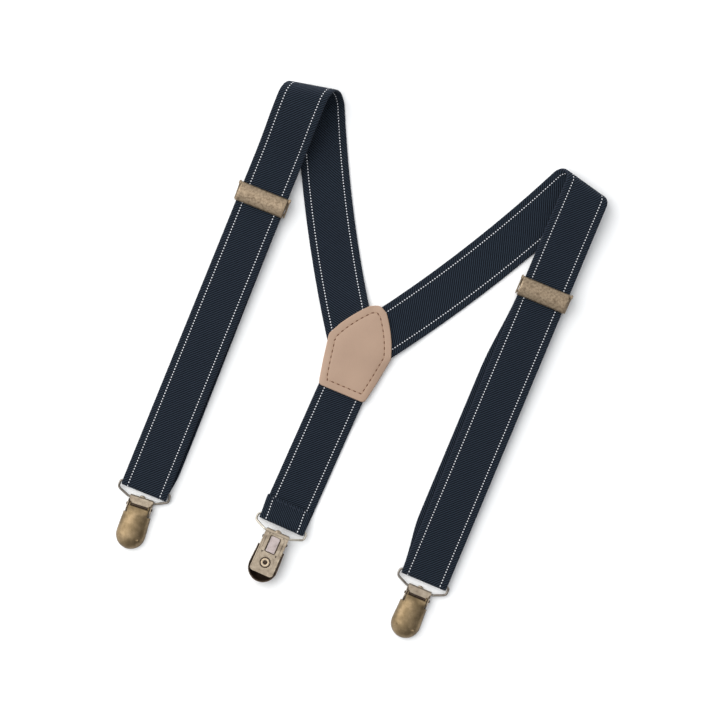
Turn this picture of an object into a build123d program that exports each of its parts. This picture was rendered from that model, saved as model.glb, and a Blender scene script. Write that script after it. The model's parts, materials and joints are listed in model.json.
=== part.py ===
from build123d import *
import os
from math import atan, cos, radians, sin, tan

os.makedirs("parts", exist_ok=True)

# Clip-on Y-back suspenders laid out on a flat surface, in millimetres.
# +Y runs from the clips to the shoulder folds, +X to the right, +Z up from the surface.

# Elastic webbing
WEB_WIDTH = 25.0
WEB_THICK = 1.3
HALF_WEB = WEB_WIDTH / 2

# Leather patches where the three straps meet
LEATHER = 1.2
PATCH_TOP = (1.2, 35.0)
PATCH_LEFT = (-18.2, 8.9)
PATCH_RIGHT = (17.2, 8.8)
PATCH_FOOT = (13.0, -18.0)
PATCH_BULGE = 1.6
PATCH_CORNER_R = 4.0
PATCH_FOOT_R = 2.2
STRAP_SEAM_X = -0.4
TAIL_TOP_Y = -6.0
STITCH_INSET = 3.8
STITCH_PITCH = 3.1
STITCH = (2.3, 0.55, 0.2)

# Back tail
TAIL_X = 0.0
TAIL_HEADING = -91.2
TAIL_LENGTH = 94.1
TAB_LENGTH = 13.0
SETTLE = 22.0

# Wire rings
WIRE_R = 0.6
WIRE_SLACK = 0.23
FOLD_IN = WIRE_R + WIRE_SLACK
FOLD_OUT = FOLD_IN + WEB_THICK
RING_LENGTH = 6.8
RING_HALF_TOP = 13.6
RING_HALF_FOOT = 7.4
RING_SHOULDER = 4.0
RING_ROUNDS = [1.3, 2.0, 1.3]

# Clips
CLIP_HALF = 6.5
PLATE_THICK = 0.55
PLATE_LENGTH = 22.15
CURL_OUT = 1.25
CURL_IN = 0.75
CHEEK_THICK = 0.5
EMBOSS = 0.25
PLATE_CORNER_R = 1.8
WINDOW = (5.4, 8.8)
WINDOW_Y = -6.0
RIB_X = 3.9
RIB = (9.6, 1.7)
EYELET_RIDGE = (4.4, 3.1)
SPRING = (4.8, 16.4)
SPRING_Y = -10.1
SPRING_THICK = 0.4
PAD = (10.6, 8.6)
PAD_Y = -16.6
PAD_THICK = 1.4
PAD_RIB = (9.4, 0.5)
PAD_RIB_Y = -20.0
PAD_RIB_HIGH = 0.3
JAW_Y = -20.6
JAW = (10.0, 0.6)
FLAP = [(6.2, 0), (5.4, -2.2), (4.7, -2.25), (4.7, -2.9)]
CLIP_PIN_R = 0.7
CLIP_PIN_Y = -3.75
CLIP_PIN_Z = 1.4
CLIP_PIN_HALF = 7.1
EYELET_Y = -15.95
EYELET_R = 1.45
EYELET_HOLE_R = 1.15
EYELET_RIM_R = 2.2
COVER_HALF = 7.7
COVER_TOP_Y = -7.75
COVER_TIP_Y = -26.5
COVER_RIM_Z = -0.9
COVER_CROWN_Z = 4.9
COVER_WALL = 0.5
COVER_ROUND = 3.0
EAR_X = 4.8
EAR_THICK = 0.55
ROLL_Y = -5.0
ROLL_Z = 3.1
ROLL_R = 0.75

# Length adjusters
ANCHOR_R = 0.75
ANCHOR_SLACK = 0.15
ADJUSTER_LIFT = 0.5
ANCHOR_Y = -3.0
FACE_HALF_X = 13.25
FACE_HALF_Y = 5.2
FACE_Z = 2.35
FACE_THICK = 0.6
CHEEK_IN = 13.4
CHEEK_OUT = 14.1
GATE_Y = 4.4
GATE_Z = 2.4
GATE_PIN_R = 0.6
RUNNING = 0.06
RETURN_END = 16.0
STRAIGHT_PAST = 21.0
TOOTH_PITCH = 1.9
TOOTH_WIDTH = 1.5
TOOTH_COUNT = 12
TOOTH_Y = 2.0

# Where each front strap lies: x and y of the middle of its shoulder fold, the turn of the whole front
# about that point, y of its lower edge and of its adjuster before the turn, lean of its clip, inner
# radius of the fold, angle of the fold line, where the back strap meets the fold and its heading
FRONTS = {
    "left": dict(x=-78.0, fold_y=116.0, turn=0.8, foot=-105.6, adjuster=59.0, lean=4.2,
                 radius=6.5, fold=12.0, back=(-68.9, 117.9), heading=-59.5),
    "right": dict(x=77.27, fold_y=127.6, turn=0.0, foot=-91.7, adjuster=70.1, lean=0.0,
                  radius=3.2, fold=-13.0, back=(70.1, 129.2), heading=-120.0),
}


def write(piece, name, place=Location()):
    placed = piece.part.moved(place)
    placed.label = name
    export_step(placed, f"parts/{name}.step")


def turned(front):
    """Where a front's pieces go: turned about the middle of the shoulder fold."""
    pivot = Vector(front["x"], front["fold_y"], 0)
    return Location(pivot) * Location((0, 0, 0), (0, 0, front["turn"])) * Location(-pivot)


def rounded(spot, digits):
    return [round(c, digits) + 0.0 for c in spot]


def report(side, what, place, spot, axis):
    """Print a joint's point and axis after the piece is placed."""
    at = (place * Location(spot)).position
    along = (place * Location(spot + axis)).position - at
    print(side, what, "hinge", rounded(at, 3), rounded(along, 5))


def direction(angle):
    return Vector(cos(radians(angle)), sin(radians(angle)), 0)


def side_plane(origin, heading):
    """A vertical plane whose x runs along the heading and whose y is up."""
    along = direction(heading)
    return Plane(origin=origin, x_dir=along, z_dir=along.cross(Vector(0, 0, 1)))


def fold_face(front, turn=0):
    """The upright plane through a shoulder fold's centre line, where the straps meet the fold."""
    normal = direction(front["fold"] + 90 - turn)
    return Plane(origin=Vector(front["x"], front["fold_y"], 0) - normal * 0.01, z_dir=normal)


# The patch: a six-cornered outline with bulging upper sides
def patch_outline():
    with BuildSketch() as outline:
        with BuildLine():
            foot_right = Vector(PATCH_FOOT[0], PATCH_FOOT[1])
            foot_left = Vector(-PATCH_FOOT[0], PATCH_FOOT[1])
            side_right = Vector(PATCH_RIGHT[0], PATCH_RIGHT[1])
            side_left = Vector(PATCH_LEFT[0], PATCH_LEFT[1])
            top = Vector(PATCH_TOP[0], PATCH_TOP[1])
            Line(foot_left, foot_right)
            Line(foot_right, side_right)
            for side, turn in ((side_right, 1), (side_left, -1)):
                chord = top - side
                outward = Vector(chord.Y, -chord.X, 0).normalized() * PATCH_BULGE * turn
                ThreePointArc(side, (side + top) / 2 + outward, top)
            Line(side_left, foot_left)
        make_face()
        fillet(outline.vertices().group_by(Axis.Y)[0], radius=PATCH_FOOT_R)
        for corner in (PATCH_RIGHT, PATCH_LEFT, PATCH_TOP):
            fillet(outline.vertices().sort_by_distance((*corner, 0))[0], radius=PATCH_CORNER_R)
    return outline.sketch


def leather_patch(name, bottom, shown):
    with BuildPart() as patch:
        with BuildSketch(Plane.XY.offset(bottom)):
            add(patch_outline())
        extrude(amount=LEATHER)
        face = patch.faces().sort_by(Axis.Z)[-1 if shown > 0 else 0]
        fillet(face.edges(), radius=0.4)
    write(patch, name)


def patch_stitching():
    top = 2 * LEATHER + WEB_THICK
    line = offset(patch_outline(), amount=-STITCH_INSET, mode=Mode.PRIVATE).face().outer_wire()
    count = round(line.length / STITCH_PITCH)
    with BuildPart() as stitching:
        for n in range(count):
            spot = line.position_at(n / count)
            run = line.tangent_at(n / count)
            stitch_plane = Plane(origin=(spot.X, spot.Y, top), x_dir=run, z_dir=(0, 0, 1))
            with BuildSketch(stitch_plane):
                SlotOverall(STITCH[0], STITCH[1])
            extrude(amount=STITCH[2])
    write(stitching, "patch_stitching")


def stitch_row(name, plane, width, count, place=Location()):
    """A straight row of stitches across a strap, lying on the plane."""
    with BuildPart() as row:
        with BuildSketch(plane):
            with GridLocations(width / count, 1, count, 1):
                SlotOverall(1.7, STITCH[1])
        extrude(amount=STITCH[2])
    write(row, name, place)


# The back straps run from the shoulder folds down to the seam under the patch
def back_strap(side, front):
    seat = front["back"]
    plane = side_plane((seat[0], seat[1], 0), front["heading"])
    run = direction(front["heading"])
    flat_from = (abs(seat[0]) - PATCH_RIGHT[0] + 1) / abs(run.X)
    end = abs(seat[0]) / abs(run.X) + 20
    low = [(-8, 0), (flat_from - SETTLE, 0), (flat_from, LEATHER), (end, LEATHER)]
    high = [(u, z + WEB_THICK) for u, z in reversed(low)]
    outward = 1 if seat[0] > 0 else -1
    with BuildPart() as strap:
        with BuildSketch(plane):
            with BuildLine():
                Polyline(*low, *high, close=True)
            make_face()
        extrude(amount=HALF_WEB, both=True)
        split(bisect_by=fold_face(front), keep=Keep.BOTTOM)
        split(bisect_by=Plane(origin=(STRAP_SEAM_X, 0, 0), z_dir=(outward, 0, 0)), keep=Keep.TOP)
        split(bisect_by=Plane(origin=(0, TAIL_TOP_Y, 0), z_dir=(0, 1, 0)), keep=Keep.TOP)
    write(strap, f"{side}_back_strap")


# The tail hangs from the patch and its end is folded round the back ring and sewn down
def fold_ring(centre):
    """The section of webbing bent half way round a ring's wire, open towards -x."""
    with Locations(centre):
        Circle(FOLD_OUT)
        Circle(FOLD_IN, mode=Mode.SUBTRACT)
    with Locations((centre[0] - FOLD_OUT / 2, centre[1])):
        Rectangle(FOLD_OUT, 2 * FOLD_OUT, mode=Mode.SUBTRACT)


TAIL_PLANE = side_plane((TAIL_X, 0, 0), TAIL_HEADING)
TAIL_BEND = TAIL_LENGTH - FOLD_OUT


def back_tail():
    foot = -PATCH_FOOT[1] + 1.6
    low = [(-TAIL_TOP_Y + 0.4, LEATHER), (foot, LEATHER), (foot + SETTLE, 0), (TAIL_BEND, 0)]
    high = [(u, z + WEB_THICK) for u, z in reversed(low)]
    with BuildPart() as tail:
        with BuildSketch(TAIL_PLANE):
            with BuildLine():
                Polyline(*low, *high, close=True)
            make_face()
        extrude(amount=HALF_WEB, both=True)
    write(tail, "back_tail_strap")

    sewn = TAIL_LENGTH - TAB_LENGTH
    lies = sewn + 3.0
    rise = 2 * FOLD_OUT
    low = [(sewn, WEB_THICK), (lies, WEB_THICK), (TAIL_BEND, rise - WEB_THICK)]
    high = [(u, z + WEB_THICK) for u, z in reversed(low)]
    with BuildPart() as tab:
        with BuildSketch(TAIL_PLANE):
            fold_ring((TAIL_BEND, FOLD_OUT))
            with BuildLine():
                Polyline(*low, *high, close=True)
            make_face()
        extrude(amount=HALF_WEB, both=True)
    write(tab, "back_tail_tab")

    across = TAIL_PLANE.from_local_coords(Vector(sewn + 1.3, 2 * WEB_THICK, 0))
    row = Plane(origin=across, x_dir=direction(TAIL_HEADING + 90), z_dir=(0, 0, 1))
    stitch_row("back_tail_stitching", row, WEB_WIDTH - 3, 9)


# The shoulder folds: half turns of webbing about the fold line
def shoulder_fold(side, front):
    e = direction(front["fold"])
    centre_z = WEB_THICK + front["radius"]
    top = Vector(front["x"], front["fold_y"], 0)
    seat = Vector(front["back"][0], front["back"][1], 0)
    middle = (top + top + e * (seat - top).dot(e)) / 2
    plane = Plane(origin=(middle.X, middle.Y, centre_z), x_dir=direction(front["fold"] + 90), z_dir=e)
    outer = front["radius"] + WEB_THICK
    with BuildPart() as fold:
        with BuildSketch(plane):
            Circle(outer)
            Circle(front["radius"], mode=Mode.SUBTRACT)
            with Locations((-outer / 2, 0)):
                Rectangle(outer, 2 * outer, mode=Mode.SUBTRACT)
        extrude(amount=HALF_WEB / cos(radians(front["fold"])), both=True)
    write(fold, f"{side}_shoulder_fold")
    report(side, "shoulder", Location(), plane.origin, e)


# The front strap: an outer layer from the shoulder fold to the ring, folded round the wire,
# and a return layer below it that ends round the adjuster's anchor bar
def front_slope(front):
    bend = front["foot"] + FOLD_OUT
    low_bend = 2 * FOLD_OUT - WEB_THICK
    low_adjuster = ADJUSTER_LIFT + 2 * WEB_THICK + 2 * (ANCHOR_R + ANCHOR_SLACK) + 0.15
    return bend, low_bend, low_adjuster, (low_adjuster - low_bend) / (front["adjuster"] - bend)


def adjuster_plane(front):
    _, _, low, slope = front_slope(front)
    return Plane(origin=(front["x"], front["adjuster"], low), x_dir=(1, 0, 0),
                 z_dir=(0, -sin(atan(slope)), cos(atan(slope))))


def front_strap(side, front):
    place = turned(front)
    plane = Plane(origin=(front["x"], 0, 0), x_dir=(0, 1, 0), z_dir=(1, 0, 0))
    bend, low_bend, low_adjuster, slope = front_slope(front)
    rise_from = front["adjuster"] + STRAIGHT_PAST
    rise_z = low_adjuster + STRAIGHT_PAST * slope
    with BuildPart() as strap:
        with BuildSketch(plane):
            with BuildLine():
                Polyline((bend, low_bend), (rise_from, rise_z), (rise_from, rise_z + WEB_THICK),
                         (bend, low_bend + WEB_THICK), close=True)
            make_face()
        extrude(amount=HALF_WEB, both=True)
    write(strap, f"{side}_front_strap", place)

    crest_y = front["fold_y"] - HALF_WEB * tan(radians(abs(front["fold"] - front["turn"])))
    crest_z = WEB_THICK + 2 * front["radius"]
    past = front["fold_y"] + HALF_WEB
    half_way = ((rise_from + crest_y) / 2, (rise_z + crest_z) / 2)
    with BuildPart() as shoulder:
        with BuildSketch(plane):
            with BuildLine():
                for lift in (0, WEB_THICK):
                    start = (rise_from, rise_z + lift)
                    middle = (half_way[0], half_way[1] + lift)
                    end = (crest_y, crest_z + lift)
                    TangentArc(start, middle, tangent=(1, slope))
                    TangentArc(end, middle, tangent=(-1, 0))
                    Line(end, (past, crest_z + lift))
                Line((rise_from, rise_z), (rise_from, rise_z + WEB_THICK))
                Line((past, crest_z), (past, crest_z + WEB_THICK))
            make_face()
        extrude(amount=HALF_WEB, both=True)
        split(bisect_by=fold_face(front, front["turn"]), keep=Keep.BOTTOM)
    write(shoulder, f"{side}_shoulder_strap", place)

    bend_plane = Plane(origin=(front["x"], bend, FOLD_OUT), x_dir=(0, -1, 0), z_dir=(-1, 0, 0))
    with BuildPart() as bend_piece:
        with BuildSketch(bend_plane):
            fold_ring((0, 0))
        extrude(amount=HALF_WEB, both=True)
    write(bend_piece, f"{side}_ring_fold", place)

    end_y = front["adjuster"] - RETURN_END
    end_z = ADJUSTER_LIFT - RETURN_END * slope
    with BuildPart() as back_layer:
        with BuildSketch(plane):
            with BuildLine():
                Polyline((bend, 0), (end_y, end_z), (end_y, end_z + WEB_THICK), (bend, WEB_THICK), close=True)
            make_face()
        extrude(amount=HALF_WEB, both=True)
    write(back_layer, f"{side}_return_strap", place)


# The adjuster: a frame below the strap, a bar that holds the return layer's end, and a hinged
# face with a row of teeth that bites on the outer layer
ANCHOR_Z = -(ANCHOR_R + ANCHOR_SLACK + WEB_THICK + 0.15)


def adjuster(side, front):
    place = turned(front)
    base = adjuster_plane(front)
    section = Plane(origin=base.origin, x_dir=base.y_dir, z_dir=base.x_dir)
    anchor = (ANCHOR_Y, ANCHOR_Z)
    gate = (GATE_Y, GATE_Z)

    with BuildPart() as frame:
        with BuildSketch(base.offset(-0.85)):
            with Locations((0, 2.2)):
                Rectangle(2 * CHEEK_OUT, 4.8)
        extrude(amount=0.75)
        for way in (-1, 1):
            with BuildSketch(section.offset(way * CHEEK_IN)):
                with BuildLine():
                    Polyline((-4.5, ANCHOR_Z - 1.1), (-1.5, ANCHOR_Z - 1.1), (4.6, -0.85), (5.5, 1.6),
                             (5.5, 3.2), (3.4, 3.2), (0.6, 0.6), (-4.5, ANCHOR_Z + 1.1), close=True)
                make_face()
            extrude(amount=way * (CHEEK_OUT - CHEEK_IN))
        with BuildSketch(section):
            with Locations(anchor):
                Circle(ANCHOR_R)
            with Locations(gate):
                Circle(GATE_PIN_R)
        extrude(amount=CHEEK_OUT + 1, both=True, mode=Mode.SUBTRACT)
    write(frame, f"{side}_adjuster_frame", place)

    with BuildPart() as bar:
        with BuildSketch(section):
            with Locations(anchor):
                Circle(ANCHOR_R)
        extrude(amount=CHEEK_OUT, both=True)
    write(bar, f"{side}_anchor_bar", place)

    with BuildPart() as pins:
        for way in (-1, 1):
            with BuildSketch(section.offset(way * (HALF_WEB + 0.1))):
                with Locations(gate):
                    Circle(GATE_PIN_R)
            extrude(amount=way * (CHEEK_OUT - HALF_WEB - 0.1))
            with BuildSketch(section.offset(way * CHEEK_OUT)):
                with Locations(gate):
                    Circle(GATE_PIN_R + 0.25)
            extrude(amount=way * 0.35)
    write(pins, f"{side}_gate_pins", place)

    flange_in = HALF_WEB + 0.15
    with BuildPart() as face:
        with BuildSketch(base.offset(FACE_Z)):
            RectangleRounded(2 * FACE_HALF_X, 2 * FACE_HALF_Y, 0.9)
        extrude(amount=FACE_THICK)
        fillet(face.faces().sort_by(Axis(base.origin, base.z_dir))[-1].edges(), radius=0.3)
        for way in (-1, 1):
            with BuildSketch(section.offset(way * flange_in)):
                with BuildLine():
                    Polyline((-4.4, FACE_Z + 0.1), (-3.8, 0.9), (4.2, 0.9), (FACE_HALF_Y, FACE_Z - 0.6),
                             (FACE_HALF_Y, FACE_Z + 0.1), close=True)
                make_face()
            extrude(amount=way * (FACE_HALF_X - flange_in))
        with BuildSketch(section):
            with Locations(gate):
                Circle(GATE_PIN_R + RUNNING)
        extrude(amount=FACE_HALF_X + 1, both=True, mode=Mode.SUBTRACT)
    write(face, f"{side}_adjuster_face", place)

    root = FACE_Z - 0.3
    with BuildPart() as teeth:
        with BuildSketch(base.offset(WEB_THICK + 0.05)):
            with Locations((0, TOOTH_Y)):
                with GridLocations(TOOTH_PITCH, 1, TOOTH_COUNT, 1):
                    Triangle(a=TOOTH_WIDTH, B=55, C=55)
        extrude(amount=root - WEB_THICK - 0.05)
        with BuildSketch(base.offset(root)):
            with Locations((0, TOOTH_Y)):
                Rectangle(TOOTH_PITCH * TOOTH_COUNT, 1.6)
        extrude(amount=FACE_Z - root)
    write(teeth, f"{side}_adjuster_teeth", place)

    low = ANCHOR_Z - ANCHOR_R - ANCHOR_SLACK - WEB_THICK
    top = ANCHOR_Z + ANCHOR_R + ANCHOR_SLACK
    with BuildPart() as wrap:
        with BuildSketch(section):
            with Locations(anchor):
                Circle(-low + ANCHOR_Z)
                Circle(ANCHOR_R + ANCHOR_SLACK, mode=Mode.SUBTRACT)
            with Locations((ANCHOR_Y - 2, ANCHOR_Z)):
                Rectangle(4, 6, mode=Mode.SUBTRACT)
            with BuildLine():
                Polyline((ANCHOR_Y, low), (-RETURN_END, low), (-RETURN_END, low + WEB_THICK),
                         (ANCHOR_Y, low + WEB_THICK), close=True)
            make_face()
            with BuildLine():
                Polyline((ANCHOR_Y, top), (ANCHOR_Y, top + WEB_THICK), (-11, low + 2 * WEB_THICK),
                         (-14, low + 2 * WEB_THICK), (-14, low + WEB_THICK), (-11, low + WEB_THICK),
                         close=True)
            make_face()
        extrude(amount=HALF_WEB, both=True)
    write(wrap, f"{side}_return_end", place)

    row = Plane(origin=base.from_local_coords(Vector(0, -12.6, low + 2 * WEB_THICK)), x_dir=base.x_dir,
                z_dir=base.z_dir)
    stitch_row(f"{side}_return_stitching", row, WEB_WIDTH - 3, 9, place)
    report(side, "slide", place, base.origin, base.y_dir)
    report(side, "gate", place, base.from_local_coords(Vector(0, GATE_Y, GATE_Z)), base.x_dir)


# The wire ring: its long bar lies in the webbing's fold and its short bar in the clip's curl
def ring(name, plane, place):
    with BuildPart() as wire:
        with BuildLine(plane):
            route = FilletPolyline((0, RING_LENGTH), (RING_HALF_TOP, RING_LENGTH),
                                   (RING_HALF_TOP, RING_LENGTH - RING_SHOULDER), (RING_HALF_FOOT, 0), (0, 0),
                                   radius=RING_ROUNDS)
        with BuildSketch(Plane(origin=route @ 0, z_dir=route % 0)):
            Circle(WIRE_R)
        sweep()
        mirror(about=Plane(origin=plane.origin, z_dir=plane.x_dir))
    write(wire, f"{name}_ring", place)


def clip(name, plane, place):
    """One clip on its own plane: x across, y towards the strap, z from the plate to the cover."""
    back = -CURL_OUT
    rear = back + EMBOSS
    inner = rear + PLATE_THICK
    section = Plane(origin=plane.origin, x_dir=plane.y_dir, z_dir=plane.x_dir)
    pin = (CLIP_PIN_Y, CLIP_PIN_Z)

    with BuildPart() as plate:
        with BuildSketch(plane.offset(rear)) as outline:
            with Locations((0, -PLATE_LENGTH / 2)):
                Rectangle(2 * CLIP_HALF, PLATE_LENGTH)
            fillet(outline.vertices().sort_by(Axis.Y)[:2], radius=PLATE_CORNER_R)
            with Locations((0, WINDOW_Y)):
                Rectangle(*WINDOW, mode=Mode.SUBTRACT)
        extrude(amount=PLATE_THICK)
        for way in (-1, 1):
            with BuildSketch(section.offset(way * CLIP_HALF)):
                with BuildLine():
                    Polyline((-1.3, rear), (-PLATE_LENGTH + PLATE_CORNER_R, rear),
                             (-PLATE_LENGTH + 2.1, 0.3), (-8.6, 0.5), (-5.9, CLIP_PIN_Z + 1.5),
                             (-2.4, CLIP_PIN_Z + 1.5), (-1.3, 0.6), close=True)
                make_face()
            extrude(amount=-way * CHEEK_THICK)
        with BuildSketch(plane.offset(back)):
            for way in (-1, 1):
                with Locations((way * RIB_X, WINDOW_Y)):
                    SlotOverall(*RIB, rotation=90)
            with Locations((0, EYELET_Y)):
                Circle(EYELET_RIDGE[0])
                Circle(EYELET_RIDGE[1], mode=Mode.SUBTRACT)
        extrude(amount=EMBOSS + 0.05)
        with BuildSketch(section):
            Circle(CURL_OUT)
        extrude(amount=CLIP_HALF - 0.2, both=True)
        with BuildSketch(plane.offset(CURL_IN)):
            with BuildLine():
                Polyline(*FLAP, *[(-x, y) for x, y in reversed(FLAP)], close=True)
            make_face()
        extrude(amount=CURL_OUT - CURL_IN)
        with BuildSketch(section):
            Circle(CURL_IN)
            with Locations(pin):
                Circle(CLIP_PIN_R)
        extrude(amount=CLIP_HALF + 1, both=True, mode=Mode.SUBTRACT)
        with BuildSketch(plane.offset(back)):
            with Locations((0, EYELET_Y)):
                Circle(EYELET_R)
        extrude(amount=2, mode=Mode.SUBTRACT)
    write(plate, f"{name}_clip_plate", place)

    with BuildPart() as spring:
        with BuildSketch(plane.offset(inner)):
            with Locations((0, SPRING_Y)):
                RectangleRounded(*SPRING, 0.8)
            with Locations((0, EYELET_Y)):
                Circle(EYELET_R, mode=Mode.SUBTRACT)
        extrude(amount=SPRING_THICK)
    write(spring, f"{name}_clip_spring", place)

    seat = inner + SPRING_THICK
    with BuildPart() as pad:
        with BuildSketch(plane.offset(seat)):
            with Locations((0, PAD_Y)):
                RectangleRounded(*PAD, 1.0)
        extrude(amount=PAD_THICK)
        with BuildSketch(plane.offset(seat + PAD_THICK)):
            with Locations((0, PAD_RIB_Y)):
                with GridLocations(1, 1.0, 1, 2):
                    Rectangle(*PAD_RIB)
        extrude(amount=PAD_RIB_HIGH)
        with BuildSketch(plane.offset(seat)):
            with Locations((0, EYELET_Y)):
                Circle(EYELET_R)
        extrude(amount=3, mode=Mode.SUBTRACT)
        with BuildSketch(plane.offset(seat + PAD_THICK - PAD_RIB_HIGH)):
            with Locations((0, EYELET_Y)):
                Circle(EYELET_RIM_R + 0.1)
        extrude(amount=1, mode=Mode.SUBTRACT)
    write(pad, f"{name}_jaw_pad", place)

    with BuildPart() as eyelet:
        with BuildSketch(plane.offset(rear - 0.22)):
            with Locations((0, EYELET_Y)):
                Circle(EYELET_RIM_R)
        extrude(amount=0.22)
        with BuildSketch(plane.offset(rear)):
            with Locations((0, EYELET_Y)):
                Circle(EYELET_R)
        extrude(amount=seat + PAD_THICK - PAD_RIB_HIGH - rear)
        with BuildSketch(plane.offset(seat + PAD_THICK - PAD_RIB_HIGH)):
            with Locations((0, EYELET_Y)):
                Circle(EYELET_RIM_R)
        extrude(amount=0.25)
        with BuildSketch(plane.offset(back)):
            with Locations((0, EYELET_Y)):
                Circle(EYELET_HOLE_R)
        extrude(amount=5, mode=Mode.SUBTRACT)
    write(eyelet, f"{name}_clip_eyelet", place)

    with BuildPart() as pivot:
        with BuildSketch(section):
            with Locations(pin):
                Circle(CLIP_PIN_R)
        extrude(amount=CLIP_PIN_HALF, both=True)
        fillet(pivot.edges().filter_by(GeomType.CIRCLE), radius=0.25)
    write(pivot, f"{name}_clip_pin", place)

    straight = COVER_TIP_Y + COVER_HALF
    height = COVER_CROWN_Z - COVER_RIM_Z
    inside = COVER_HALF - COVER_WALL
    with BuildPart() as cover:
        with BuildSketch(plane.offset(COVER_RIM_Z)):
            with Locations((0, straight)):
                Circle(COVER_HALF)
            with Locations((0, (straight + COVER_TOP_Y) / 2)):
                Rectangle(2 * COVER_HALF, COVER_TOP_Y - straight)
        extrude(amount=height)
        crown = cover.faces().sort_by(Axis(plane.origin, plane.z_dir))[-1]
        fillet(crown.edges(), radius=COVER_ROUND)
        with BuildSketch(plane.offset(COVER_RIM_Z)):
            with Locations((0, straight)):
                Circle(inside)
            with Locations((0, (straight + COVER_TOP_Y + 2) / 2)):
                Rectangle(2 * inside, COVER_TOP_Y + 2 - straight)
        extrude(amount=height - 1.6, mode=Mode.SUBTRACT)
        with BuildSketch(plane.offset(COVER_RIM_Z + height - 1.6)):
            with Locations((0, straight)):
                Circle(inside - 1.4)
            with Locations((0, (straight + COVER_TOP_Y + 2) / 2)):
                Rectangle(2 * inside - 2.8, COVER_TOP_Y + 2 - straight)
        extrude(amount=1.1, mode=Mode.SUBTRACT)
        with BuildSketch(section):
            with BuildLine():
                Polyline((-5.0, 3.0), (-9.2, 4.0), (-9.2, 4.5), (-5.0, 3.7), close=True)
            make_face()
            with Locations((ROLL_Y, ROLL_Z)):
                Circle(ROLL_R)
        extrude(amount=EAR_X + EAR_THICK, both=True)
        for way in (-1, 1):
            with BuildSketch(section.offset(way * EAR_X)):
                with BuildLine():
                    Polyline((-4.6, 3.4), (-9.2, 4.4), (-9.2, 2.0), (-5.2, 0.6), (-4.0, 0.1), (-2.7, 0.6),
                             (-2.4, 1.8), close=True)
                make_face()
            extrude(amount=way * EAR_THICK)
        jaw_z = seat + PAD_THICK + PAD_RIB_HIGH + 0.2
        with BuildSketch(plane.offset(jaw_z)):
            with Locations((0, JAW_Y)):
                Rectangle(*JAW)
        extrude(amount=COVER_CROWN_Z - COVER_WALL - jaw_z)
        with BuildSketch(section):
            with Locations(pin):
                Circle(CLIP_PIN_R + RUNNING)
        extrude(amount=CLIP_HALF, both=True, mode=Mode.SUBTRACT)
    write(cover, f"{name}_clip_cover", place)


def hung_clip(name, fold, strap_down, lean, clip_z, cover_up, place=Location()):
    """A ring and its clip, hanging from the fold of a strap and lying on the surface."""
    down = direction(strap_down + lean)
    across = Vector(-down.Y, down.X, 0) * (1 if cover_up else -1)
    slack = HALF_WEB * abs(sin(radians(lean)))
    top = fold - direction(strap_down) * slack
    drop = top.Z - clip_z
    flat = (RING_LENGTH ** 2 - drop ** 2) ** 0.5
    foot = Vector(top.X, top.Y, clip_z) + down * flat
    up = (top - foot).normalized()
    ring(name, Plane(origin=foot, x_dir=across, z_dir=across.cross(up)), place)
    clip_plane = Plane(origin=foot, x_dir=across, z_dir=(0, 0, 1 if cover_up else -1))
    clip(name, clip_plane, place)
    pin = clip_plane.from_local_coords(Vector(0, CLIP_PIN_Y, CLIP_PIN_Z))
    for label, spot in (("ring", top), ("clip", foot), ("cover", pin)):
        report(name, label, place, spot, across)


leather_patch("outer_leather_patch", 0, -1)
leather_patch("inner_leather_patch", LEATHER + WEB_THICK, 1)
patch_stitching()
back_tail()
for side, front in FRONTS.items():
    back_strap(side, front)
    shoulder_fold(side, front)
    front_strap(side, front)
    adjuster(side, front)
    fold_at = Vector(front["x"], front["foot"] + FOLD_OUT, FOLD_OUT)
    hung_clip(side, fold_at, -90, front["lean"], CURL_OUT, True, turned(front))
tail_fold = TAIL_PLANE.from_local_coords(Vector(TAIL_BEND, FOLD_OUT, 0))
hung_clip("back", tail_fold, TAIL_HEADING, 0, COVER_CROWN_Z, False)
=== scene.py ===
import bpy
import bmesh
import json
from math import cos, exp, hypot, pi, radians, sin, sqrt
from mathutils import Matrix, Vector


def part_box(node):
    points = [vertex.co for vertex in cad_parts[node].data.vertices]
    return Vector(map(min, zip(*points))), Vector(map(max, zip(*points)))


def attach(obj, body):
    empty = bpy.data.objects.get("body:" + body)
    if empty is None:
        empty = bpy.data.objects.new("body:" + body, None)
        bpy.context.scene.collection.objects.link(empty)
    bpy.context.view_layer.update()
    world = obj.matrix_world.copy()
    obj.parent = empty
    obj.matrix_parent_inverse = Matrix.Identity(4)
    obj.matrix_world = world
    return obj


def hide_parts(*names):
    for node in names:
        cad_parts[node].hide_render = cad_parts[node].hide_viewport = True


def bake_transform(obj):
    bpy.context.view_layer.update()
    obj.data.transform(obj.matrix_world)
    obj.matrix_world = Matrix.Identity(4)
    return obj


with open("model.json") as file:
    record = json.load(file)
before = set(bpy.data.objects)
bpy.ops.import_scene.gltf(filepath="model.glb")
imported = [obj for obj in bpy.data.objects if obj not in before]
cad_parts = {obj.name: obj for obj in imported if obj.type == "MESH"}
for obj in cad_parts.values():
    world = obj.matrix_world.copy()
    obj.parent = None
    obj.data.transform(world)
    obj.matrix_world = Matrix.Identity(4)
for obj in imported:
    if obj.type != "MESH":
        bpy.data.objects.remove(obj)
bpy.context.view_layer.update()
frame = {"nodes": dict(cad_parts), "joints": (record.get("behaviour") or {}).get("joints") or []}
NODES = frame["nodes"]
JOINTS = {joint["name"]: joint for joint in frame["joints"]}
MM = 0.001
Z = Vector((0, 0, 1))

# Lengths below are in millimetres, those whose name ends in _M in metres, and angles in degrees

# Webbing: half its width, and its thickness
HALF = 12.5
THICK = 1.3

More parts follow.
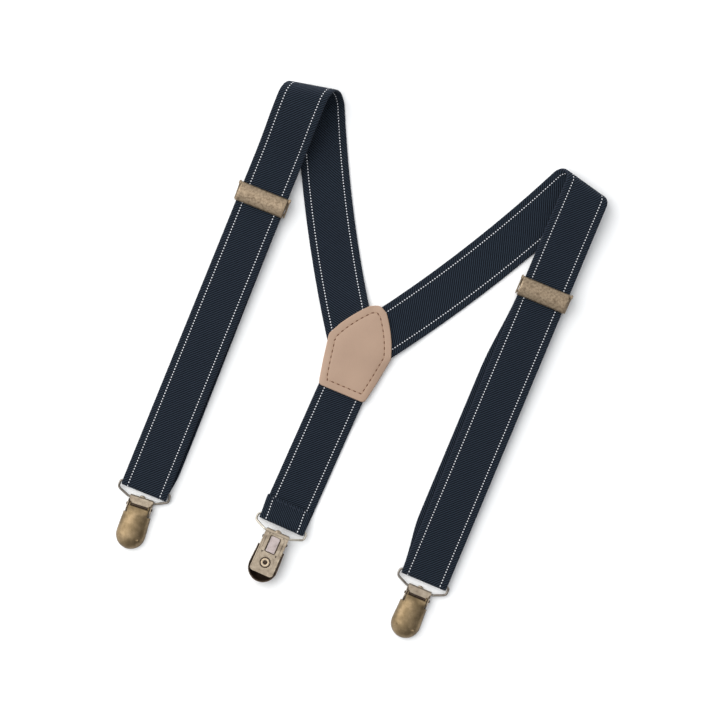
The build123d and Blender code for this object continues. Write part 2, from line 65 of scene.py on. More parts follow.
# Its pattern: the dotted stripes and the track they run in, the twill, the threads, and the plain edge
STRIPE_AT = 8.94
STRIPE_PITCH = 1.51
DOT_HALF_WIDTH = 0.30
DOT_HALF_LENGTH = 0.44
TRACK_HALF = 0.62
RIB_PITCH = 1.06
YARN_PITCH = 0.42
WARP_PITCH = 0.5
SELVEDGE_AT = 11.9

# The leather's thickness; past its edge a strap settles on to the ground: from where, and over what length
LEATHER_THICK = 1.2
STRAP_SETTLES = (20, 20)
TAIL_SETTLES = (14, 18)

# Where the webbing meets the metal
ADJUSTER_LIFT = 0.5
STRAIGHT_PAST = 21.0
SKEW_EASES_OVER = 40
RETURN_END = 16.0
RETURN_PHASE = 400
RETURN_FIXED = 20
GATE_ABOVE = 4.4
ANCHOR_Y = -3.0
BAR_SLACK = 0.15
END_TAB = 11.0
END_TAB_GAP = 0.08
TAIL_TAB = 13.0
TAIL_TAB_GAP = 0.06
TAB_ASIDE = 0.7

# The leather patch: its corners, anticlockwise from the lower right, with the radius of each
CORNERS = [((13.0, -18.0), 2.2), ((17.2, 8.8), 4.0), ((1.2, 35.0), 4.0), ((-18.2, 8.9), 4.0),
           ((-13.0, -18.0), 2.2)]
PATCH_MIDDLE = (0.0, 8.0)
BULGING_SIDES = (1, 2)
BULGE_SHARES = (0.22, 0.32, 0.42, 0.5, 0.58, 0.68, 0.78)
PATCH_BULGE = 1.6

# How the leather sinks beside the straps under it
PATCH_DROOP = 1.1
DROOP_RADII = (1.2, 2.6)
DROOP_OVER = 3.5
TAIL_TOP_Y = 9
STRAP_BEHIND = 3

# The leather's shown face: its rounded edge, the groove the stitches lie in, and its soft middle
EDGE_ROUND = 0.5
GROOVE_DEPTH = 0.10
GROOVE_HALF = 0.55
MIDDLE_RISE = 0.20
MIDDLE_RISES_OVER = 5

# Stitches and the painted shade of the needle holes between them: length, width and height, and how deep each
# is seated
STITCH_INSET = 3.8
STITCH_PITCH = 3.1
HOLE_SHADE_SIZE = (1.7, 0.62, 0.16)
THREAD_SIZE = (1.4, 0.5, 0.22)
HOLE_SHADE_SEAT = 0.08
THREAD_SEAT = 0.10


# ---- places from the frame

def box(node):
    low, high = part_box(node)
    return low / MM, high / MM


def joint_at(name):
    """A joint's point in millimetres and its axis."""
    joint = JOINTS[name]
    spot = Vector(joint.get("pos_m", (0, 0, 0))) / MM
    return spot, Vector(joint["axis"]).normalized()


def heading(angle):
    return Vector((cos(radians(angle)), sin(radians(angle)), 0))


def smooth(f):
    f = min(max(f, 0.0), 1.0)
    return f * f * (3 - 2 * f)


def blend_of(a, b, f):
    return a + (b - a) * f


# ---- node helpers

class Tree:
    """The nodes of a material or of the world, with short calls to add and join them."""

    def __init__(self, owner):
        owner.use_nodes = True
        self.owner = owner
        self.nodes = owner.node_tree.nodes
        self.links = owner.node_tree.links

    def add(self, kind, **settings):
        node = self.nodes.new("ShaderNode" + kind)
        for key, value in settings.items():
            setattr(node, key, value)
        return node

    def feed(self, socket, value):
        if isinstance(value, bpy.types.NodeSocket):
            self.links.new(value, socket)
        else:
            socket.default_value = value

    def math(self, operation, a, b=None, c=None):
        node = self.add("Math", operation=operation)
        for socket, value in zip(node.inputs, (a, b, c)):
            if value is not None:
                self.feed(socket, value)
        return node.outputs[0]

    def times(self, a, b):
        return self.math("MULTIPLY", a, b)

    def wave(self, turns):
        """A sine running from 0 to 1."""
        return self.math("MULTIPLY_ADD", self.math("SINE", turns), 0.5, 0.5)

    def noise(self, vector, scale, detail=2.0, roughness=0.5):
        node = self.add("TexNoise")
        self.feed(node.inputs["Vector"], vector)
        for socket, value in (("Scale", scale), ("Detail", detail), ("Roughness", roughness)):
            self.feed(node.inputs[socket], value)
        return node.outputs["Fac"]

    def ramp(self, value, stops):
        node = self.add("ValToRGB")
        self.feed(node.inputs[0], value)
        elements = node.color_ramp.elements
        while len(elements) < len(stops):
            elements.new(0.5)
        for element, (place, color) in zip(elements, stops):
            element.position = place
            element.color = (*color, 1)
        return node.outputs[0]

    def mix(self, factor, a, b):
        node = self.add("Mix", data_type="RGBA")
        for socket, value in ((0, factor), (6, a), (7, b)):
            self.feed(node.inputs[socket], value)
        return node.outputs[2]

    def bump(self, height, strength, distance):
        node = self.add("Bump")
        for socket, value in (("Height", height), ("Strength", strength), ("Distance", distance)):
            self.feed(node.inputs[socket], value)
        return node.outputs[0]

    def scaled(self, vector, factors):
        node = self.add("Mapping")
        self.feed(node.inputs["Vector"], vector)
        node.inputs["Scale"].default_value = factors
        return node.outputs[0]

    def place(self):
        return self.add("TexCoord").outputs["Object"]

    def set(self, **sockets):
        names = {"color": "Base Color", "roughness": "Roughness", "metallic": "Metallic", "normal": "Normal",
                 "sheen": "Sheen Weight", "sheen_roughness": "Sheen Roughness", "sheen_tint": "Sheen Tint",
                 "specular": "Specular IOR Level"}
        for key, value in sockets.items():
            self.feed(self.nodes["Principled BSDF"].inputs[names[key]], value)
        return self.owner


def material_tree(name):
    return Tree(bpy.data.materials.new(name))


# ---- materials

def webbing_material():
    """Navy twill on the coordinates that each webbing mesh carries: x across, y along, both in mm."""
    t = material_tree("navy_twill_webbing")
    weave = t.add("Attribute", attribute_name="weave").outputs["Vector"]
    split = t.add("SeparateXYZ")
    t.feed(split.inputs[0], weave)
    across, along = split.outputs[0], split.outputs[1]

    wobble = t.times(t.noise(weave, 0.35, 1.0), 0.25)
    diagonal = t.math("ADD", t.math("SUBTRACT", along, across), wobble)
    turns = t.times(diagonal, 2 * pi / (RIB_PITCH * sqrt(2)))
    rib = t.wave(turns)
    yarn = t.wave(t.times(along, 2 * pi / YARN_PITCH))
    warp = t.wave(t.times(across, 2 * pi / WARP_PITCH))
    threads = t.times(yarn, warp)

    distance = t.math("ABSOLUTE", t.math("SUBTRACT", t.math("ABSOLUTE", across), STRIPE_AT))
    beat = t.math("ABSOLUTE", t.math("SUBTRACT", t.math("FRACT", t.math("DIVIDE", along, STRIPE_PITCH)), 0.5))
    beat = t.times(beat, STRIPE_PITCH)
    reach = t.math("SQRT", t.math("ADD", t.math("POWER", t.math("DIVIDE", distance, DOT_HALF_WIDTH), 2.0),
                                  t.math("POWER", t.math("DIVIDE", beat, DOT_HALF_LENGTH), 2.0)))
    dot = t.math("SUBTRACT", 1.0, t.math("SMOOTH_MIN", reach, 1.0, 0.1))
    dot = t.math("MINIMUM", t.times(t.math("MAXIMUM", dot, 0.0), 5.0), 1.0)
    track = t.math("LESS_THAN", distance, TRACK_HALF)

    selvedge = t.math("GREATER_THAN", t.math("ABSOLUTE", across), SELVEDGE_AT)
    mottle = t.noise(weave, 1.7, 3.0)
    base = t.ramp(rib, [(0.10, (0.0002, 0.0006, 0.0022)), (0.5, (0.0032, 0.0066, 0.0130)),
                        (0.9, (0.0215, 0.0340, 0.0520))])
    base = t.mix(t.times(threads, 0.25), base, (0.003, 0.006, 0.012, 1))
    base = t.mix(t.times(mottle, 0.15), base, (0.006, 0.012, 0.021, 1))
    base = t.mix(t.times(track, 0.75), base, (0.004, 0.006, 0.012, 1))
    base = t.mix(t.times(selvedge, 0.4), base, (0.012, 0.015, 0.026, 1))
    color = t.mix(dot, base, (0.80, 0.82, 0.86, 1))

    height = t.math("ADD", t.times(rib, t.math("SUBTRACT", 1.0, t.times(track, 0.8))),
                    t.times(threads, 0.35))
    height = t.math("ADD", height, t.times(dot, 1.4))
    normal = t.bump(height, 1.0, 0.00028)
    roughness = t.math("MULTIPLY_ADD", rib, -0.12, 0.86)
    return t.set(color=color, roughness=roughness, normal=normal, sheen=0.07, sheen_roughness=0.45,
                 sheen_tint=(0.55, 0.65, 0.9, 1), specular=0.16)


def leather_material():
    t = material_tree("tan_leather")
    place = t.place()
    cloud = t.noise(place, 60, 3.0)
    grain = t.add("TexVoronoi", feature="F1")
    t.feed(grain.inputs["Vector"], place)
    grain.inputs["Scale"].default_value = 2300
    fine = t.noise(place, 2600, 3.0, 0.6)
    color = t.ramp(cloud, [(0.3, (0.330, 0.222, 0.158)), (0.7, (0.370, 0.252, 0.180))])
    color = t.mix(t.times(fine, 0.2), color, (0.30, 0.185, 0.12, 1))
    height = t.math("ADD", t.times(grain.outputs["Distance"], 0.6), t.times(fine, 0.5))
    normal = t.bump(height, 0.35, 0.00012)
    roughness = t.math("MULTIPLY_ADD", cloud, 0.18, 0.46)
    return t.set(color=color, roughness=roughness, normal=normal, sheen=0.08, specular=0.4)


def thread_material(name, dark, light):
    t = material_tree(name)
    twist = t.add("TexWave", wave_type="BANDS", bands_direction="DIAGONAL")
    t.feed(twist.inputs["Vector"], t.place())
    twist.inputs["Scale"].default_value = 1500
    color = t.ramp(twist.outputs["Fac"], [(0.1, dark), (0.9, light)])
    return t.set(color=color, roughness=0.75, normal=t.bump(twist.outputs["Fac"], 0.5, 0.0001), specular=0.3)


def metal_material(name, light, middle, dark, rough, patina, brushed=(1, 1, 1), scale=260):
    """Plated metal with a dark patina lying in clouds and fine scratches."""
    t = material_tree(name)
    place = t.place()
    cloud = t.noise(place, scale, 4.0, 0.62)
    streak = t.noise(t.scaled(place, brushed), 2400, 3.0, 0.6)
    speck = t.noise(place, 3800, 2.0, 0.6)
    color = t.ramp(cloud, [(0.30, dark), (0.47, middle), (0.66, light)])
    color = t.mix(t.times(t.ramp(speck, [(0.5, (0, 0, 0)), (0.72, (1, 1, 1))]), patina), color,
                  (*[c * 0.35 for c in dark], 1))
    color = t.mix(t.times(streak, 0.25), color, (*light, 1))
    roughness = t.math("ADD", t.math("MULTIPLY_ADD", cloud, -0.16, rough + 0.08),
                       t.times(streak, 0.12))
    normal = t.bump(t.math("ADD", streak, t.times(cloud, 0.8)), 0.22, 0.00006)
    return t.set(color=color, roughness=roughness, normal=normal, metallic=0.92)


def plastic_material():
    t = material_tree("jaw_plastic")
    speck = t.noise(t.place(), 2500, 2.0)
    color = t.ramp(speck, [(0.3, (0.018, 0.016, 0.015)), (0.7, (0.035, 0.031, 0.028))])
    return t.set(color=color, roughness=0.6, normal=t.bump(speck, 0.3, 0.00005))


WEBBING = webbing_material()
LEATHER = leather_material()
TAN_THREAD = thread_material("tan_thread", (0.27, 0.165, 0.105), (0.39, 0.26, 0.175))
NAVY_THREAD = thread_material("navy_thread", (0.006, 0.009, 0.016), (0.02, 0.03, 0.05))
BRASS = metal_material("antique_brass", (0.290, 0.212, 0.122), (0.198, 0.142, 0.076), (0.120, 0.084, 0.044),
                       rough=0.42, patina=0.35, scale=190)
PLATE_BRASS = metal_material("rubbed_brass", (0.43, 0.36, 0.275), (0.32, 0.26, 0.195), (0.155, 0.118, 0.085),
                             rough=0.40, patina=0.35)
# A lighter copy of the brass for the plate's raised ribs and eyelet rings: painted highlight
HIGHLIGHT_BRASS = metal_material("painted_highlight_brass", (0.66, 0.54, 0.38), (0.50, 0.39, 0.26), (0.26, 0.19, 0.12),
                              rough=0.3, patina=0.2)
# A near-black copy of the brass for the dome's inside, the pin in its gap and the plate's cuts and holes:
# painted shade
PAINTED_SHADE_BRASS = metal_material("brass_in_shade", (0.085, 0.06, 0.042), (0.055, 0.037, 0.026),
                            (0.025, 0.017, 0.012), rough=0.5, patina=0.3)
WIRE = metal_material("wire_steel", (0.28, 0.25, 0.215), (0.17, 0.148, 0.125), (0.06, 0.05, 0.042),
                      rough=0.3, patina=0.3)
# A lighter copy of the wire steel for the back clip's ring: painted highlight
LIT_BACK_WIRE = metal_material("highlit_wire_steel", (0.58, 0.54, 0.47), (0.42, 0.38, 0.32), (0.2, 0.175, 0.14),
                           rough=0.28, patina=0.3)
SPRING = metal_material("spring_steel", (0.50, 0.43, 0.42), (0.42, 0.355, 0.34), (0.28, 0.23, 0.22),
                        rough=0.4, patina=0.2, brushed=(1, 0.1, 1))
ADJUSTER_BRASS = metal_material("adjuster_brass", (0.36, 0.28, 0.195), (0.25, 0.188, 0.126),
                                (0.12, 0.085, 0.055), rough=0.38, patina=0.3, scale=900)
PLASTIC = plastic_material()
# Dark brown for the needle holes between the stitches: painted shade
HOLE_SHADE = thread_material("needle_hole_shade", (0.10, 0.045, 0.022), (0.16, 0.075, 0.04))


# ---- mesh helpers

def linked(name, data):
    obj = bpy.data.objects.new(name, data)
    bpy.context.collection.objects.link(obj)
    return obj


def new_object(name, vertices, faces, material, sharp):
    """An object from points in millimetres."""
    mesh = bpy.data.meshes.new(name)
    mesh.from_pydata([Vector(v) * MM for v in vertices], [], faces)
    mesh.materials.append(material)
    bm = bmesh.new()
    bm.from_mesh(mesh)
    bmesh.ops.recalc_face_normals(bm, faces=bm.faces)
    bm.to_mesh(mesh)
    bm.free()
    mesh.shade_smooth()
    mesh.set_sharp_from_angle(angle=radians(sharp))
    return linked(name, mesh)


def tube_faces(rows, around):
    """The four-sided faces between closed rings of points that follow one another."""
    faces = []
    for r in range(rows):
        for k in range(around):
            m = (k + 1) % around
            faces.append((r * around + k, r * around + m, (r + 1) * around + m, (r + 1) * around + k))
    return faces


def joined(name, pieces):
    """One object from several, each keeping its own material."""
    bpy.ops.object.select_all(action="DESELECT")
    for piece in pieces:
        piece.select_set(True)
    bpy.context.view_layer.objects.active = pieces[0]
    bpy.ops.object.join()
    obj = bpy.context.view_layer.objects.active
    obj.name = name
    obj.data.name = name
    return obj


# ---- webbing

# Half of the webbing's cross-section: distance from its middle, and half the thickness there
HALF_SECTION = [(0, 0.65), (2.7, 0.65), (5.5, 0.65), (8.2, 0.65), (8.9, 0.67), (9.6, 0.65), (11.4, 0.65),
                (12.1, 0.60), (12.42, 0.42), (12.5, 0.18)]
SECTION = [(-t, h) for t, h in reversed(HALF_SECTION[1:])] + HALF_SECTION


def webbing(name, rows):
    """A closed strip of webbing. Each row is a function of the distance across, giving a point on the
    middle surface, the normal of the outer face and the distance along, all in millimetres."""
    vertices = []
    weave = []
    count = 2 * len(SECTION)
    for row in rows:
        spots = [row(t) for t, _ in SECTION]
        for (t, h), (point, normal, s) in zip(SECTION, spots):
            vertices.append(point + normal * h)
            weave.append((t, s, 1))
        for (t, h), (point, normal, s) in reversed(list(zip(SECTION, spots))):
            vertices.append(point - normal * h)
            weave.append((t, s, -1))
    faces = tube_faces(len(rows) - 1, count)
    last = (len(rows) - 1) * count
    for first in (0, last):
        for c in range(len(SECTION) - 1):
            faces.append((first + c, first + c + 1, first + count - 2 - c, first + count - 1 - c))
    obj = new_object(name, vertices, faces, WEBBING, sharp=50)
    attribute = obj.data.attributes.new("weave", "FLOAT_VECTOR", "POINT")
    attribute.data.foreach_set("vector", [c for w in weave for c in w])
    return obj


def settling(distance, settles):
    """How far the webbing still stands off the ground, at a distance from its end between the leathers."""
    start, length = settles
    return LEATHER_THICK * (1 - smooth((distance - start) / length))


def lengths_along(path):
    """The distance run at each place of a path whose places start with two coordinates."""
    made = [0]
    for before, place in zip(path, path[1:]):
        made.append(made[-1] + hypot(place[0] - before[0], place[1] - before[1]))
    return made


class Side:
    """One side's webbing: a back strap, a shoulder fold, a front strap and the layer that returns below it.
    Distance along starts at the seam under the patch."""

    def __init__(self, side, start, leave, slide_out):
        self.side = side
        self.slide_out = slide_out
        self.centre, axis = joint_at(side + "_shoulder_unfold")
        self.e = -axis if axis.x < 0 else axis
        self.n = Z.cross(self.e)
        self.radius = self.centre.z - THICK / 2

        gate = joint_at(side + "_adjuster_gate")[0]
        slide = joint_at(side + "_adjuster_slide")[1]
        self.down = -Vector((slide.x, slide.y, 0)).normalized()
        self.across = Z.cross(self.down) * -1
        self.slope = slide.z / hypot(slide.x, slide.y)
        reach = (gate - self.centre).dot(self.n) / self.down.dot(self.n)
        self.top = Vector((gate.x, gate.y, 0)) - self.down * reach
        self.adjuster_v = (gate - self.top).dot(self.down) + GATE_ABOVE

        low, high = box(side + "_ring_fold")
        self.bend_z = (low.z + high.z) / 2
        self.bend_r = self.bend_z - THICK / 2
        self.bend_v = ((low + high) / 2 - self.top).dot(self.down) - self.bend_z / 2
        self.end_v = self.adjuster_v + RETURN_END
        self.end_z = self.layer_z(self.end_v)

        middle = Vector((self.centre.x, self.centre.y, 0))
        self.seat = self.top + self.e * (middle - self.top).dot(self.e) * 2
        self.start = Vector((*start, 0))
        reach = (self.seat - self.start).length
        self.control = self.start + heading(leave) * reach * 0.5
        self.run = (self.seat - self.control).normalized()
        self.left = Z.cross(self.run)
        turn = pi * self.radius
        rolled = turn * self.run.dot(self.e) / self.run.dot(self.n)
        self.slip = (self.top - self.seat).dot(self.e) - rolled
        spots = [self.back_point(k / 40)[0] for k in range(41)]
        self.back_length = sum((b - a).length for a, b in zip(spots, spots[1:]))

    def back_point(self, f):
        a, b, c = self.start, self.control, self.seat
        point = a * (1 - f) ** 2 + b * 2 * f * (1 - f) + c * f * f
        run = ((b - a) * (1 - f) + (c - b) * f).normalized()
        return point, run

    def fold_row(self, p):
        """A row that has turned p along the fold's mean radius."""
        def row(t):
            s = (p - t * self.left.dot(self.n)) / self.run.dot(self.n)
            q = s * self.run.dot(self.e) + t * self.left.dot(self.e)
            q += self.slip * smooth(p / (pi * self.radius))
            angle = p / self.radius
            point = self.seat + self.e * q + self.n * self.radius * sin(angle)
            point.z = self.centre.z - self.radius * cos(angle)
            return point, self.n * sin(angle) - Z * cos(angle), self.back_length + s
        return row

    def back_rows(self):
        """From the seam to the fold, the rows turning gradually to lie along the fold."""
        made = []
        steps = 48
        for k in range(steps + 1):
            f = k / steps
            centre, run = self.back_point(f)
            left = Z.cross(run)
            distance = f * self.back_length
            z = THICK / 2 + settling(distance, STRAP_SETTLES)
            near = smooth((f - 0.75) / 0.25)

            def row(t, centre=centre, run=run, left=left, distance=distance, z=z, near=near):
                skew = -t * self.left.dot(self.n) / self.run.dot(self.n)
                point = centre + left * t + run * skew * near
                point.z = z
                return point, -Z, distance + skew * near
            made.append(row)
        return made

    def fold_rows(self):
        turns = 24
        return [self.fold_row(pi * self.radius * k / turns) for k in range(turns + 1)]

    def front_z(self, v):
        """Height of the outer layer's middle at a distance down from the fold."""
        low = self.bend_z + self.bend_r + self.slope * (self.bend_v - v)
        rise_from = self.adjuster_v - STRAIGHT_PAST
        crest = HALF * abs(self.e.dot(self.down) / self.e.dot(self.across))
        crest_z = self.centre.z + self.radius
        rise_z = self.bend_z + self.bend_r + self.slope * (self.bend_v - rise_from)
        f = (rise_from - v) / (rise_from - crest)
        if f <= 0:
            return low
        if f >= 1:
            return crest_z
        f = 2 * f * f if f < 0.5 else 1 - 2 * (1 - f) ** 2
        return rise_z + (crest_z - rise_z) * f

    def on_front(self, v, sideways, z):
        point = self.top + self.down * v + self.across * sideways
        point.z = z
        return point

    def front_rows(self):
        """The outer layer from the fold down to the ring, and round the ring's wire."""
        first = self.fold_row(pi * self.radius)
        made = []
        steps = 110
        for k in range(steps + 1):
            f = k / steps

            def row(t, f=f):
                point, _, s = first(t)
                v0 = (point - self.top).dot(self.down)
                v = blend_of(v0, self.bend_v, f)
                near = 1 - smooth((v - v0) / SKEW_EASES_OVER)
                sideways = t + ((point - self.top).dot(self.across) - t) * near
                slope = (self.front_z(v - 0.5) - self.front_z(v + 0.5)) * (1 - near if f < 0.02 else 1)
                normal = (Z + self.down * slope).normalized()
                return self.on_front(v, sideways, self.front_z(v)), normal, s + v - v0
            made.append(row)
        turns = 12
        for k in range(1, turns + 1):
            angle = pi * k / turns

            def row(t, angle=angle):
                point, _, s = first(t)
                s += self.bend_v - (point - self.top).dot(self.down) + self.bend_r * angle
                spot = self.on_front(self.bend_v + self.bend_r * sin(angle), t,
                                     self.bend_z + self.bend_r * cos(angle))
                return spot, self.down * sin(angle) + Z * cos(angle), s
            made.append(row)
        return made

    def layer_z(self, v):
        """Height of the returning layer's middle, which rises from the ring to the adjuster."""
        end = ADJUSTER_LIFT - RETURN_END * self.slope
        return THICK / 2 + end * (self.bend_v - v) / (self.bend_v - self.adjuster_v - RETURN_END)

    def layer_side(self, v):
        """How far the returning layer has slipped out sideways."""
        reach, from_ring, to_bar = self.slide_out
        bar_v = self.adjuster_v - ANCHOR_Y
        return reach * smooth((self.bend_v - v) / from_ring) * smooth((v - bar_v) / to_bar)

    def layer_row(self, v, z, angle, s):
        """A row of the returning layer, whose outer face looks down where the angle is 0."""
        def row(t):
            point = self.on_front(v, t + self.layer_side(v), z)
            return point, -Z * cos(angle) - self.down * sin(angle), s
        return row

    def return_rows(self):
        steps = 60
        made = []
        for k in range(steps + 1):
            v = blend_of(self.bend_v, self.end_v, k / steps)
            s = self.back_length + RETURN_PHASE + self.bend_v - v
            made.append(self.layer_row(v, self.layer_z(v), 0, s))
        return made

    def return_end_rows(self):
        """Under the anchor bar, round it, and back on top as a sewn tab."""
        low, high = box(self.side + "_anchor_bar")
        bar = (low + high) / 2
        bar_v = (bar - self.top).dot(self.down)
        radius = (high.z - low.z) / 2 + BAR_SLACK + THICK / 2
        path = [(self.end_v, self.end_z, 0)]
        for k in range(1, 9):
            f = k / 9
            path.append((blend_of(self.end_v, bar_v, f), blend_of(self.end_z, bar.z - radius, f), 0))
        for k in range(15):
            angle = pi * k / 14
            path.append((bar_v - radius * sin(angle), bar.z - radius * cos(angle), angle))
        tab_z = self.end_z + THICK + END_TAB_GAP
        for k in range(1, 9):
            f = k / 8
            path.append((bar_v + END_TAB * f, blend_of(bar.z + radius, tab_z, smooth(f)), pi))
        lengths = lengths_along(path)
        self.end_length = lengths[-1]
        return [self.layer_row(*place, s) for place, s in zip(path, lengths)]


def side_webbing(side, start, leave, slide_out):
    strip = Side(side, start, leave, slide_out)
    back = webbing(side + "_back_webbing", strip.back_rows())
    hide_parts(side + "_back_strap")
    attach(back, "back_yoke")

    fold = webbing(side + "_fold_webbing", strip.fold_rows())
    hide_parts(side + "_shoulder_fold")
    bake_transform(fold)

    front = webbing(side + "_front_webbing", strip.front_rows())
    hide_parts(side + "_front_strap", side + "_shoulder_strap", side + "_ring_fold")
    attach(front, side + "_front")

    layer = webbing(side + "_return_webbing", strip.return_rows())
    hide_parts(side + "_return_strap")
    fixed = strip.on_front(strip.bend_v - RETURN_FIXED, 0, 0)
    moving = strip.on_front(strip.end_v, 0, 0)
    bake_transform(layer)

    end = webbing(side + "_return_tab", strip.return_end_rows())
    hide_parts(side + "_return_end")
    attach(end, side + "_adjuster")
    return strip


def tail_path(length, bend_z):
    """Places down the tail, round the ring and back on top: distance down, height and angle turned."""
    radius = bend_z - THICK / 2
    path = []
    steps = 44
    for k in range(steps + 1):
        u = length * k / steps
        path.append((u, THICK / 2 + settling(u, TAIL_SETTLES), 0))
    turns = 12
    for k in range(1, turns + 1):
        angle = pi * k / turns
        path.append((length + radius * sin(angle), bend_z - radius * cos(angle), angle))
    sewn = length + radius + THICK / 2 - TAIL_TAB
    steps = 10
    for k in range(1, steps + 1):
        f = k / steps
        z = blend_of(bend_z + radius, THICK * 1.5 + TAIL_TAB_GAP, smooth(f * 1.15))
        path.append((blend_of(length, sewn, f), z, pi))
    return path


def tail_webbing():
    """The back tail: out from under the patch, down to the ring, round it and sewn down on top."""
    bend_spot, across = joint_at("back_ring_swing")
    run = Vector((0, 0, -1)).cross(across)
    run = run if run.y < 0 else -run
    run.z = 0
    run.normalize()
    left = Z.cross(run)
    top_y = box("back_tail_strap")[1].y
    start = bend_spot + run * ((top_y - bend_spot.y) / run.y)
    length = (start - bend_spot).length
    base = Vector((start.x, start.y, 0))
    path = tail_path(length, bend_spot.z)
    lengths = lengths_along(path)
    rows = []
    for (u, z, angle), s in zip(path, lengths):
        aside = TAB_ASIDE * smooth((length - u) / TAIL_TAB * 1.3) if angle == pi else 0

        def row(t, u=u, z=z, angle=angle, s=s, aside=aside):
            return base + run * u + left * (-t - aside) + Z * z, run * sin(angle) - Z * cos(angle), s
        rows.append(row)
    tail = webbing("back_tail_webbing", rows)
    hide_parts("back_tail_strap", "back_tail_tab")
    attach(tail, "back_yoke")
    paint("back_tail_stitching", NAVY_THREAD)


# ---- leather patch

def patch_circles():
    """Circles whose common wrapping line is the patch's outline."""
    circles = []
    count = len(CORNERS)
    for k in range(count):
        before = Vector(CORNERS[k - 1][0])
        corner, radius = Vector(CORNERS[k][0]), CORNERS[k][1]
        after = Vector(CORNERS[(k + 1) % count][0])
        first = (corner - before).normalized()
        second = (after - corner).normalized()
        inward = Vector((-first.y, first.x)) + Vector((-second.y, second.x))
        circles.append((corner + inward * radius / (1 + first.dot(second)), radius))
        if k in BULGING_SIDES:
            outward = Vector((second.y, -second.x))
            for f in BULGE_SHARES:
                circles.append((blend_of(corner, after, f) + outward * PATCH_BULGE * 4 * f * (1 - f), 0.0))
    return circles


def patch_reach():
    """Distance from the patch's middle to a line inset from its edge, for any direction."""
    middle = Vector(PATCH_MIDDLE)
    supports = []
    for k in range(180):
        phi = 2 * pi * k / 180
        out = Vector((cos(phi), sin(phi)))
        supports.append((phi, max((c - middle).dot(out) + r for c, r in patch_circles())))

    def reach(theta, inset):
        return min((h - inset) / cos(theta - phi) for phi, h in supports if cos(theta - phi) > 0.2)
    return reach


def strap_gap(x, y):
    """How far a point of the patch lies outside every strap below it."""
    gaps = [max(abs(x) - HALF, y - TAIL_TOP_Y)]
    for strip in (LEFT, RIGHT):
        offset = Vector((x, y, 0)) - strip.start
        run = (strip.control - strip.start).normalized()
        gaps.append(max(abs(offset.dot(Z.cross(run))) - HALF, -offset.dot(run) - STRAP_BEHIND))
    return min(gaps)


def patch_droop(x, y):
    """How far the leather sinks between the straps, eased over a few millimetres."""
    spots = [(x + r * cos(pi * k / 4), y + r * sin(pi * k / 4)) for r in DROOP_RADII for k in range(8)]
    return PATCH_DROOP * sum(smooth(strap_gap(*spot) / DROOP_OVER) for spot in spots) / len(spots)


def patch_face(inset):
    """Height of the shown face over the plain leather: rounded edge, stitched groove, soft middle."""
    rounded = 0
    if inset < EDGE_ROUND:
        rounded = -EDGE_ROUND * (1 - sqrt(max(0, 1 - (1 - inset / EDGE_ROUND) ** 2)))
    groove = -GROOVE_DEPTH * exp(-((inset - STITCH_INSET) / GROOVE_HALF) ** 2)
    return rounded + groove + MIDDLE_RISE * smooth((inset - STITCH_INSET) / MIDDLE_RISES_OVER)


# The rings of points that make a leather patch: how far each is inset from the edge, then how far it shrinks
SHOWN_INSETS = [0, 0.04, 0.12, 0.25, 0.4, 0.6, 1.0, 1.6, 2.2, 2.8, 3.2, 3.5, 3.8, 4.1, 4.4, 4.8, 5.4, 6.2,
                7.2, 8.6]
SHOWN_RINGS = [(inset, 1) for inset in SHOWN_INSETS]
SHOWN_RINGS += [(SHOWN_INSETS[-1], shrink) for shrink in (0.85, 0.68, 0.5, 0.33, 0.16)]
PLAIN_RINGS = [(8.6, 0.5), (8.6, 1), (4.8, 1), (1.6, 1), (0.25, 1), (0, 1)]
PATCH_AROUND = 144


def leather_rings(bottom, way):
    """The patch's points, ring by ring from the middle of its plain face to the middle of its shown face."""
    reach = patch_reach()
    rings = []
    for shown, steps in ((False, PLAIN_RINGS), (True, SHOWN_RINGS)):
        for inset, shrink in steps:
            ring = []
            for k in range(PATCH_AROUND):
                theta = 2 * pi * k / PATCH_AROUND
                r = reach(theta, inset) * shrink
                x = PATCH_MIDDLE[0] + r * cos(theta)
                y = PATCH_MIDDLE[1] + r * sin(theta)
                lift = LEATHER_THICK + patch_face(inset + 4 * (1 - shrink)) if shown else 0
                if way > 0:
                    z = bottom + lift - patch_droop(x, y)
                else:
                    z = bottom + LEATHER_THICK - min(lift, LEATHER_THICK)
                ring.append(Vector((x, y, z)))
            rings.append(ring)
    return rings


def leather_piece(name, node, bottom, way):
    """One leather patch; way is 1 where the shown face looks up and -1 where it looks down."""
    rings = leather_rings(bottom, way)
    vertices = [v for ring in rings for v in ring]
    faces = tube_faces(len(rings) - 1, PATCH_AROUND)
    for r in (0, len(rings) - 1):
        vertices.append(sum(rings[r], Vector()) / PATCH_AROUND)
        first = r * PATCH_AROUND
        for k in range(PATCH_AROUND):
            faces.append((first + k, first + (k + 1) % PATCH_AROUND, len(vertices) - 1))
    obj = new_object(name, vertices, faces, LEATHER, sharp=60)
    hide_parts(node)
    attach(obj, "back_yoke")


def capsule(spot, along, length, width, height, material):
    """A long rounded bead lying along a direction."""
    vertices = []
    rings, around = 9, 10
    side = Z.cross(along)
    for r in range(rings + 1):
        f = -1 + 2 * r / rings
        size = max(1 - abs(f) ** 3, 0.02) ** 0.5
        for k in range(around):
            angle = 2 * pi * k / around
            vertices.append(spot + along * f * length / 2 + side * cos(angle) * size * width / 2
                            + Z * sin(angle) * size * height / 2)
    faces = tube_faces(rings, around)
    faces.append(tuple(range(around)))
    faces.append(tuple(range(rings * around, (rings + 1) * around)))
    return new_object("bead", vertices, faces, material, sharp=180)


